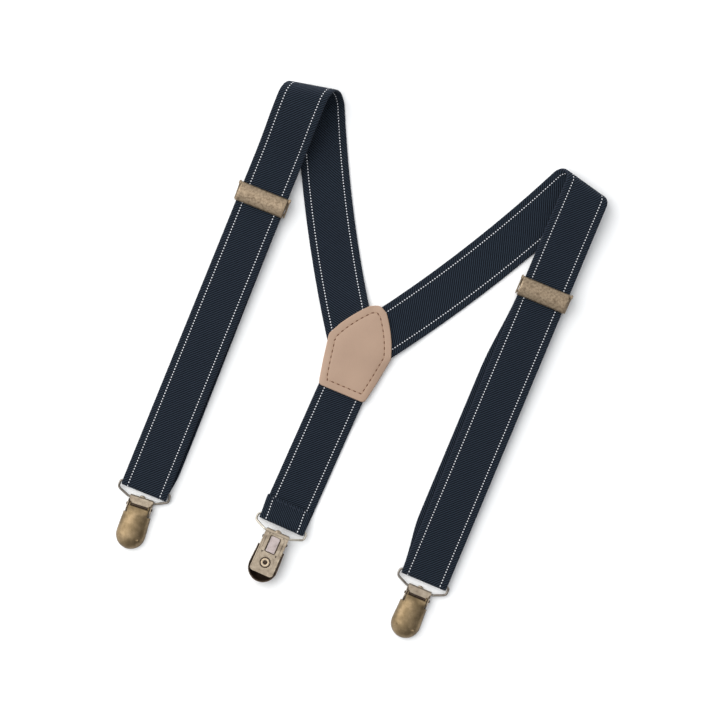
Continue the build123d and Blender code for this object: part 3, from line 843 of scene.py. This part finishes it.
def patch_stitches():
    """Stitches through both leathers, with dark beads of painted shade for the needle holes between them."""
    reach = patch_reach()
    line = []
    steps = 720
    for k in range(steps):
        theta = 2 * pi * k / steps
        r = reach(theta, STITCH_INSET)
        line.append(Vector((PATCH_MIDDLE[0] + r * cos(theta), PATCH_MIDDLE[1] + r * sin(theta), 0)))
    lengths = [0]
    for a, b in zip(line, line[1:] + line[:1]):
        lengths.append(lengths[-1] + (b - a).length)
    count = round(lengths[-1] / STITCH_PITCH)

    def at(distance):
        distance %= lengths[-1]
        k = max(i for i, d in enumerate(lengths[:-1]) if d <= distance)
        a, b = line[k], line[(k + 1) % len(line)]
        return blend_of(a, b, (distance - lengths[k]) / (b - a).length), (b - a).normalized()

    threads, hole_shades = [], []
    for k in range(count):
        spot, along = at(lengths[-1] * k / count)
        gap, _ = at(lengths[-1] * (k + 0.5) / count)
        for low in (False, True):
            for place, pieces in ((spot, threads), (gap, hole_shades)):
                point = place.copy()
                top = LEATHER_THICK * 2 + THICK - patch_droop(point.x, point.y)
                # The dark beads between the stitches are painted shade in the needle holes
                if pieces is hole_shades:
                    size, seat, material = HOLE_SHADE_SIZE, HOLE_SHADE_SEAT, HOLE_SHADE
                else:
                    size, seat, material = THREAD_SIZE, THREAD_SEAT, TAN_THREAD
                point.z = THREAD_SEAT if low else top - seat
                pieces.append(capsule(point, along, *size, material))
    thread = joined("patch_threads", threads)
    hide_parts("patch_stitching")
    hole_shade = joined("patch_needle_hole_shade", hole_shades)
    for obj in (thread, hole_shade):
        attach(obj, "back_yoke")


def patch():
    leather_piece("outer_leather", "outer_leather_patch", 0, -1)
    leather_piece("inner_leather", "inner_leather_patch", LEATHER_THICK + THICK, 1)
    patch_stitches()


# ---- clips

# The cover's dome: half its width, where it starts and ends along the clip, its rim, crown and wall, and how
# much it narrows and sinks towards the strap
COVER_HALF = 7.7
COVER_TOP = -8.1
COVER_TIP = -26.5
COVER_RIM = -0.9
COVER_CROWN = 4.9
COVER_WALL = 0.5
COVER_TAPER = 0.35
COVER_FALL = 0.45

# The dome's section from its edge to its spine
LIP = 0.5
LIP_SHARE = 0.012
CROWN_SHARE = 0.03
CROWN_POWER = 2.15
SHELL_SHARES = [0, 0.006, 0.014, 0.03, 0.045, 0.055, 0.07, 0.09, 0.12, 0.16, 0.21, 0.28, 0.36, 0.46, 0.58,
                0.7, 0.85, 1]
MERGE_WITHIN_M = 0.000005

# The neck behind the dome and its rolled edge
NECK_HALF = 5.45
NECK_THICK = 0.45
NECK_OVERLAP = 1.6
ROLL_Y = -5.0
ROLL_Z = 3.1
ROLL_R = 0.75
ROLL_INNER_R = 0.3
ROLL_TURN = 250

# The cover's jaw and ears, and the back of the plate
JAW_OUTLINE = [(-20.9, 1.9), (-20.3, 1.9), (-20.2, 4.1), (-21.0, 4.1)]
JAW_HALF = 5
EAR_PIN = (-3.75, 1.4)
EAR_R = 1.35
EAR_BEHIND = [(-9.6, 1.8), (-5.6, 0.5)]
EAR_ABOVE = [(-4.6, 3.2), (-6.2, 3.2), (-9.6, 2.9)]
EAR_INSIDE = 4.8
EAR_OUTSIDE = 5.35
PLATE_BACK = -1.0
EYELET_Y = -15.95

# Relief on the plate: places, and length, width and height of each bead; the cut, window and eyelet-hole
# beads are painted shade
RIB_X = 3.9
RIB_Y = -6.2
RIB_SIZE = (10.0, 1.3, 0.5)
RIB_CUT_SIZE = (10.9, 2.1, 0.34)
WINDOW_X = 2.85
WINDOW_Y = -6.0
WINDOW_END_Y = -10.5
WINDOW_SIDE_SIZE = (8.8, 0.5, 0.4)
WINDOW_END_SIZE = (5.9, 0.5, 0.4)
EDGE_X = 6.1
EDGE_Y = -11.2
EDGE_SIZE = (19, 0.55, 0.3)
EYELET_HOLE_SIZE = (2.1, 2.1, 0.3)
TAB_Y = 0.55
TAB_SIZE = (3.2, 3.3, 0.68)

# Rings about the eyelet: radius, half the width, and height; the outer and inner rings carry a painted
# highlight and the groove between them is painted shade
EYELET_OUTER = (3.75, 0.32, 0.5)
EYELET_INNER = (1.75, 0.5, 0.3)
EYELET_GROOVE = (2.6, 0.28, 0.46)


class ClipFrame:
    """A clip's own axes: x across, y towards the strap, z from its plate to its cover."""

    def __init__(self, name):
        self.origin, axis = joint_at(name + "_clip_swing")
        pin = joint_at(name + "_cover_open")[0]
        self.x = -axis
        self.z = Z if pin.z > self.origin.z else -Z
        self.y = self.z.cross(self.x)

    def at(self, x, y, z):
        return self.origin + self.x * x + self.y * y + self.z * z


def grid_solid(name, outer, inner, material, inside_shade=None):
    """A closed sheet from two grids of points of the same size, one per face."""
    rows, columns = len(outer), len(outer[0])
    vertices = [p for row in outer for p in row] + [p for row in inner for p in row]
    half = rows * columns
    faces = []
    for r in range(rows - 1):
        for c in range(columns - 1):
            a, b = r * columns + c, (r + 1) * columns + c
            faces.append((a, a + 1, b + 1, b))
            faces.append((half + a, half + b, half + b + 1, half + a + 1))
    rim = list(range(columns))
    rim += [r * columns + columns - 1 for r in range(1, rows)]
    rim += [(rows - 1) * columns + c for c in range(columns - 2, -1, -1)]
    rim += [r * columns for r in range(rows - 2, 0, -1)]
    for a, b in zip(rim, rim[1:] + rim[:1]):
        faces.append((a, b, half + b, half + a))
    obj = new_object(name, vertices, faces, material, sharp=50)
    # The second material, painted shade, covers the inner face and the rim
    if inside_shade:
        obj.data.materials.append(inside_shade)
        for k, polygon in enumerate(obj.data.polygons):
            polygon.material_index = 1 if k >= 2 * (rows - 1) * (columns - 1) or k % 2 else 0
    return obj


def dome_height(q, crown):
    """Height over the rim for a share of the way in from the edge, with a low lip at the edge."""
    lip = LIP * smooth(q / LIP_SHARE)
    body = (1 - (1 - max(q - CROWN_SHARE, 0) / (1 - CROWN_SHARE)) ** CROWN_POWER) ** (1 / CROWN_POWER)
    return lip + (crown - lip) * body


def cover_shell(place, wall):
    """The dome of a cover as a fan of lines running in from its U-shaped edge to its spine."""
    half = COVER_HALF - wall
    centre_y = COVER_TIP + COVER_HALF
    straight, turn = 12, 28
    edge = [(-1, blend_of(COVER_TOP, centre_y, k / straight), 0) for k in range(straight + 1)]
    edge += [(0, centre_y, pi * k / turn) for k in range(1, turn)]
    edge += [(1, blend_of(centre_y, COVER_TOP, k / straight), 0) for k in range(straight + 1)]
    rows = []
    for way, y, angle in edge:
        row = []
        for q in SHELL_SHARES:
            taper = COVER_TAPER * smooth((y - centre_y) / (COVER_TOP - centre_y))
            reach = (half - taper) * (1 - q)
            fall = COVER_FALL * smooth((y - centre_y - 2) / (COVER_TOP - centre_y - 2))
            z = COVER_RIM + dome_height(q, COVER_CROWN - COVER_RIM - wall - fall)
            if way:
                row.append(place.at(way * reach, y, z))
            else:
                row.append(place.at(-reach * cos(angle), centre_y - reach * sin(angle), z))
        rows.append(row)
    return rows


def cover_neck(name, place):
    """The tongue that rises from the dome's open end into a rolled edge over the pin."""
    def crown(x):
        q = 1 - abs(x) / (COVER_HALF - COVER_TAPER)
        return COVER_RIM + dome_height(q, COVER_CROWN - COVER_RIM - COVER_FALL)

    def rolled(r, angle):
        return [place.at(x, ROLL_Y + r * cos(angle), ROLL_Z + r * sin(angle)) for x in across]

    outer, inner = [], []
    columns, rise, turns = 16, 10, 12
    across = [NECK_HALF * (-1 + 2 * k / columns) for k in range(columns + 1)]
    for k in range(rise + 1):
        y = blend_of(COVER_TOP - NECK_OVERLAP, ROLL_Y, k / rise)
        f = smooth((y - COVER_TOP + 0.6) / (ROLL_Y - COVER_TOP))
        row = [(x, y, blend_of(crown(x), ROLL_Z + ROLL_R, f)) for x in across]
        outer.append([place.at(x, y, z - 0.04 * (1 - f)) for x, y, z in row])
        inner.append([place.at(x, y, z - NECK_THICK) for x, y, z in row])
    for k in range(1, turns + 1):
        angle = pi / 2 - radians(ROLL_TURN) * k / turns
        outer.append(rolled(ROLL_R, angle))
        inner.append(rolled(ROLL_INNER_R, angle))
    return grid_solid(name, outer, inner, BRASS)


def flat_piece(name, points, low, high, place, material):
    """A plate between two distances across a clip, from its outline along the clip and up."""
    count = len(points)
    vertices = [place.at(x, y, z) for x in (low, high) for y, z in points]
    faces = [tuple(range(count)), tuple(range(2 * count - 1, count - 1, -1))]
    faces += [(k, (k + 1) % count, count + (k + 1) % count, count + k) for k in range(count)]
    return new_object(name, vertices, faces, material, sharp=30)


def cover_ears(place):
    """Side cheeks of the cover, rounded about the pin."""
    pin_y, pin_z = EAR_PIN
    rounded = [radians(a) for a in range(250, 421, 17)]
    outline = EAR_BEHIND + [(pin_y + EAR_R * cos(a), pin_z + EAR_R * sin(a)) for a in rounded] + EAR_ABOVE
    return [flat_piece("ear", outline, way * EAR_INSIDE, way * EAR_OUTSIDE, place, BRASS) for way in (-1, 1)]


def clip(name):
    place = ClipFrame(name)
    # The dome's inner face and rim are painted shade
    dome = grid_solid("dome", cover_shell(place, 0), cover_shell(place, COVER_WALL), BRASS, PAINTED_SHADE_BRASS)
    merge = bmesh.new()
    merge.from_mesh(dome.data)
    bmesh.ops.remove_doubles(merge, verts=merge.verts, dist=MERGE_WITHIN_M)
    merge.to_mesh(dome.data)
    merge.free()
    jaw = flat_piece("jaw", JAW_OUTLINE, -JAW_HALF, JAW_HALF, place, BRASS)
    cover = joined(name + "_domed_cover", [dome, cover_neck("neck", place), jaw, *cover_ears(place)])
    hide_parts(name + "_clip_cover")
    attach(cover, name + "_cover")
    # The pin, in the gap under the rolled edge, is painted in shade
    looks = {"clip_plate": PLATE_BRASS, "clip_eyelet": PLATE_BRASS, "clip_pin": PAINTED_SHADE_BRASS,
             "ring": LIT_BACK_WIRE if name == "back" else WIRE, "clip_spring": SPRING, "jaw_pad": PLASTIC}
    for node, material in looks.items():
        paint(name + "_" + node, material)
    clip_relief(name, place)


def torus(place, y, rise, major, minor, high, material):
    """A round raised ring lying flat on a clip's plate, on its middle line."""
    around, section = 40, 12
    vertices, faces = [], []
    for k in range(around):
        a = 2 * pi * k / around
        for m in range(section):
            b = 2 * pi * m / section
            r = major + minor * cos(b)
            vertices.append(place.at(r * cos(a), y + r * sin(a), PLATE_BACK + rise + high / 2 * sin(b)))
    for k in range(around):
        for m in range(section):
            n, o = (k + 1) % around, (m + 1) % section
            faces.append((k * section + m, k * section + o, n * section + o, n * section + m))
    return new_object("ring", vertices, faces, material, sharp=180)


def clip_relief(name, place):
    """What is pressed into the plate: ribs by the spring, rings round the eyelet, and the tab. The ribs and
    eyelet rings carry a painted highlight, and dark beads of painted shade mark the cuts beside the ribs, the
    window's edges, the groove between the rings and the eyelet's hole.
    """
    def bead(x, y, along, size, material, rise=0.0):
        return capsule(place.at(x, y, PLATE_BACK + rise), along, *size, material)

    ribs, shade_beads = [], []
    for way in (-1, 1):
        ribs.append(bead(way * RIB_X, RIB_Y, place.y, RIB_SIZE, HIGHLIGHT_BRASS))
        shade_beads.append(bead(way * RIB_X, RIB_Y, place.y, RIB_CUT_SIZE, PAINTED_SHADE_BRASS))
        shade_beads.append(bead(way * WINDOW_X, WINDOW_Y, place.y, WINDOW_SIDE_SIZE, PAINTED_SHADE_BRASS))
        ribs.append(bead(way * EDGE_X, EDGE_Y, place.y, EDGE_SIZE, PLATE_BRASS))
    shade_beads.append(bead(0, WINDOW_END_Y, place.x, WINDOW_END_SIZE, PAINTED_SHADE_BRASS))
    ribs.append(torus(place, EYELET_Y, 0, *EYELET_OUTER, HIGHLIGHT_BRASS))
    ribs.append(torus(place, EYELET_Y, -0.1, *EYELET_INNER, HIGHLIGHT_BRASS))
    shade_beads.append(torus(place, EYELET_Y, 0, *EYELET_GROOVE, PAINTED_SHADE_BRASS))
    shade_beads.append(bead(0, EYELET_Y, place.y, EYELET_HOLE_SIZE, PAINTED_SHADE_BRASS, rise=0.35))
    tab = bead(0, TAB_Y, place.y, TAB_SIZE, PLATE_BRASS, rise=0.1)
    for label, pieces in (("relief", [*ribs, tab]), ("painted_shade", shade_beads)):
        obj = joined(name + "_plate_" + label, pieces)
        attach(obj, name + "_clip")


def paint(node, material):
    mesh = NODES[node].data
    mesh.materials.clear()
    mesh.materials.append(material)


# ---- adjusters

# The gate's face: half its width, its lower and upper edges, its height and how its edges turn down
FACE_HALF = 13.2
FACE_LOW = -5.2
FACE_HIGH = 5.3
FACE_TOP = 2.65
FACE_CROWN = 1.7
FACE_WALL = 0.5
CHEEK_DROP = 1.9
CHEEK_R = 0.7
ROLLED_DROP = 0.95
ROLLED_R = 0.9


def turned_down(low, high, drop, r, count):
    """Places along a profile that turns down at both ends, with how far each has dropped."""
    angles = [pi / 2 * k / 6 for k in range(7)]
    rounded = [(r * (1 - cos(a)), r * (1 - sin(a))) for a in angles]
    path = [(low, drop)] + [(low + x, fall) for x, fall in rounded]
    path += [(blend_of(low + r, high - r, k / count), 0) for k in range(1, count)]
    return path + [(high - x, fall) for x, fall in reversed(rounded)] + [(high, drop)]


def adjuster_face(side, strip):
    """The gate's face: a crowned plate with its long edges rolled down and its ends turned down."""
    v = strip.adjuster_v
    origin = strip.on_front(v, 0, strip.front_z(v) - THICK / 2)
    up = (Z + strip.down * strip.slope).normalized()
    y_axis = (up.cross(-strip.across)).normalized()

    def spot(x, y, z):
        return origin - strip.across * x + y_axis * y + up * z

    grids = []
    for inset in (0, FACE_WALL):
        low, high = FACE_LOW + inset, FACE_HIGH - inset
        rows = []
        ends = turned_down(-FACE_HALF + inset, FACE_HALF - inset, CHEEK_DROP, CHEEK_R - inset / 2, 24)
        edges = turned_down(low, high, ROLLED_DROP, ROLLED_R - inset / 2, 14)
        for x, fall_x in ends:
            row = []
            for y, fall_y in edges:
                f = (y - low) / (high - low) * 2 - 1
                crown = FACE_CROWN * (1 - f * f)
                row.append(spot(x, y, FACE_TOP + crown - inset - max(fall_x, fall_y)))
            rows.append(row)
        grids.append(rows)
    face = grid_solid(side + "_gate_face", grids[0], grids[1], ADJUSTER_BRASS)
    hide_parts(side + "_adjuster_face")
    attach(face, side + "_gate")


def adjuster(side, strip):
    for node in ("adjuster_frame", "anchor_bar", "gate_pins", "adjuster_teeth"):
        paint(side + "_" + node, ADJUSTER_BRASS)
    adjuster_face(side, strip)
    paint(side + "_return_stitching", NAVY_THREAD)


LEFT = side_webbing("left", (-3.2, 6.4), 125.9, (-1.3, 14, 150))
RIGHT = side_webbing("right", (-0.7, 5.8), 54.5, (2.9, 30, 45))
tail_webbing()
patch()
for name in ("left", "right", "back"):
    clip(name)
for name, strip in (("left", LEFT), ("right", RIGHT)):
    adjuster(name, strip)


# ---- camera, floor and light

CAMERA_ROLL = 22.81
CAMERA_TILT = 2.0
CAMERA_DISTANCE_M = 1.30
CAMERA_TARGET_M = (0.0022, 0.0020, 0)
LENS = 124.4
SENSOR_WIDTH = 36
FLOOR_HALF_M = 3.0
FLOOR_DROP_M = 0.0001
SKY_STRENGTH = 1.05
KEY_SIZE_M = 1.7
KEY_WATTS = 13


def view_axes():
    """The camera's right, the direction up the picture along the floor, and the camera's back."""
    roll, tilt = radians(CAMERA_ROLL), radians(CAMERA_TILT)
    up = Vector((-sin(roll), cos(roll), 0))
    back = (Z * cos(tilt) - up * sin(tilt)).normalized()
    return up.cross(back).normalized(), up, back


def camera():
    right, _, back = view_axes()
    obj = linked("camera", bpy.data.cameras.new("camera"))
    bpy.context.scene.camera = obj
    obj.location = Vector(CAMERA_TARGET_M) + back * CAMERA_DISTANCE_M
    obj.rotation_mode = "QUATERNION"
    obj.rotation_quaternion = Matrix((right, back.cross(right), back)).transposed().to_quaternion()
    obj.data.lens = LENS
    obj.data.sensor_width = SENSOR_WIDTH


def white_floor():
    floor = linked("floor", bpy.data.meshes.new("floor"))
    size = FLOOR_HALF_M
    floor.data.from_pydata([(-size, -size, 0), (size, -size, 0), (size, size, 0), (-size, size, 0)], [],
                           [(0, 1, 2, 3)])
    paper = material_tree("white_paper")
    floor.data.materials.append(paper.set(color=(0.93, 0.935, 0.94, 1), roughness=0.9, specular=0.1))
    floor.location.z = -FLOOR_DROP_M


def sky():
    """Soft light from all round, brighter towards the upper left of the view."""
    right, up, _ = view_axes()
    world = bpy.data.worlds.new("studio")
    bpy.context.scene.world = world
    t = Tree(world)
    toward = t.add("VectorMath", operation="DOT_PRODUCT")
    t.feed(toward.inputs[0], t.add("TexCoord").outputs["Generated"])
    toward.inputs[1].default_value = (-right * 0.8 + up * 0.7 + Z * 0.5).normalized()
    share = t.math("MULTIPLY_ADD", toward.outputs["Value"], 0.5, 0.5)
    shade = t.ramp(share, [(0.0, (0.10, 0.10, 0.105)), (0.38, (0.36, 0.365, 0.375)),
                           (0.55, (0.85, 0.865, 0.88)), (1.0, (1.35, 1.36, 1.37))])
    background = t.nodes["Background"]
    t.feed(background.inputs[0], shade)
    background.inputs[1].default_value = SKY_STRENGTH


def key_light():
    right, up, _ = view_axes()
    light = bpy.data.lights.new("key", "AREA")
    light.shape = "DISK"
    light.size = KEY_SIZE_M
    light.energy = KEY_WATTS
    light.color = (1.0, 0.985, 0.96)
    obj = linked("key", light)
    obj.location = -right * 0.75 + up * 0.45 + Z * 0.9
    obj.rotation_mode = "QUATERNION"
    obj.rotation_quaternion = obj.location.to_track_quat("Z", "Y")


def plain_tones():
    settings = bpy.context.scene.view_settings
    settings.view_transform = "Standard"
    settings.look = "None"
    settings.exposure = 0


camera()
white_floor()
sky()
key_light()
plain_tones()
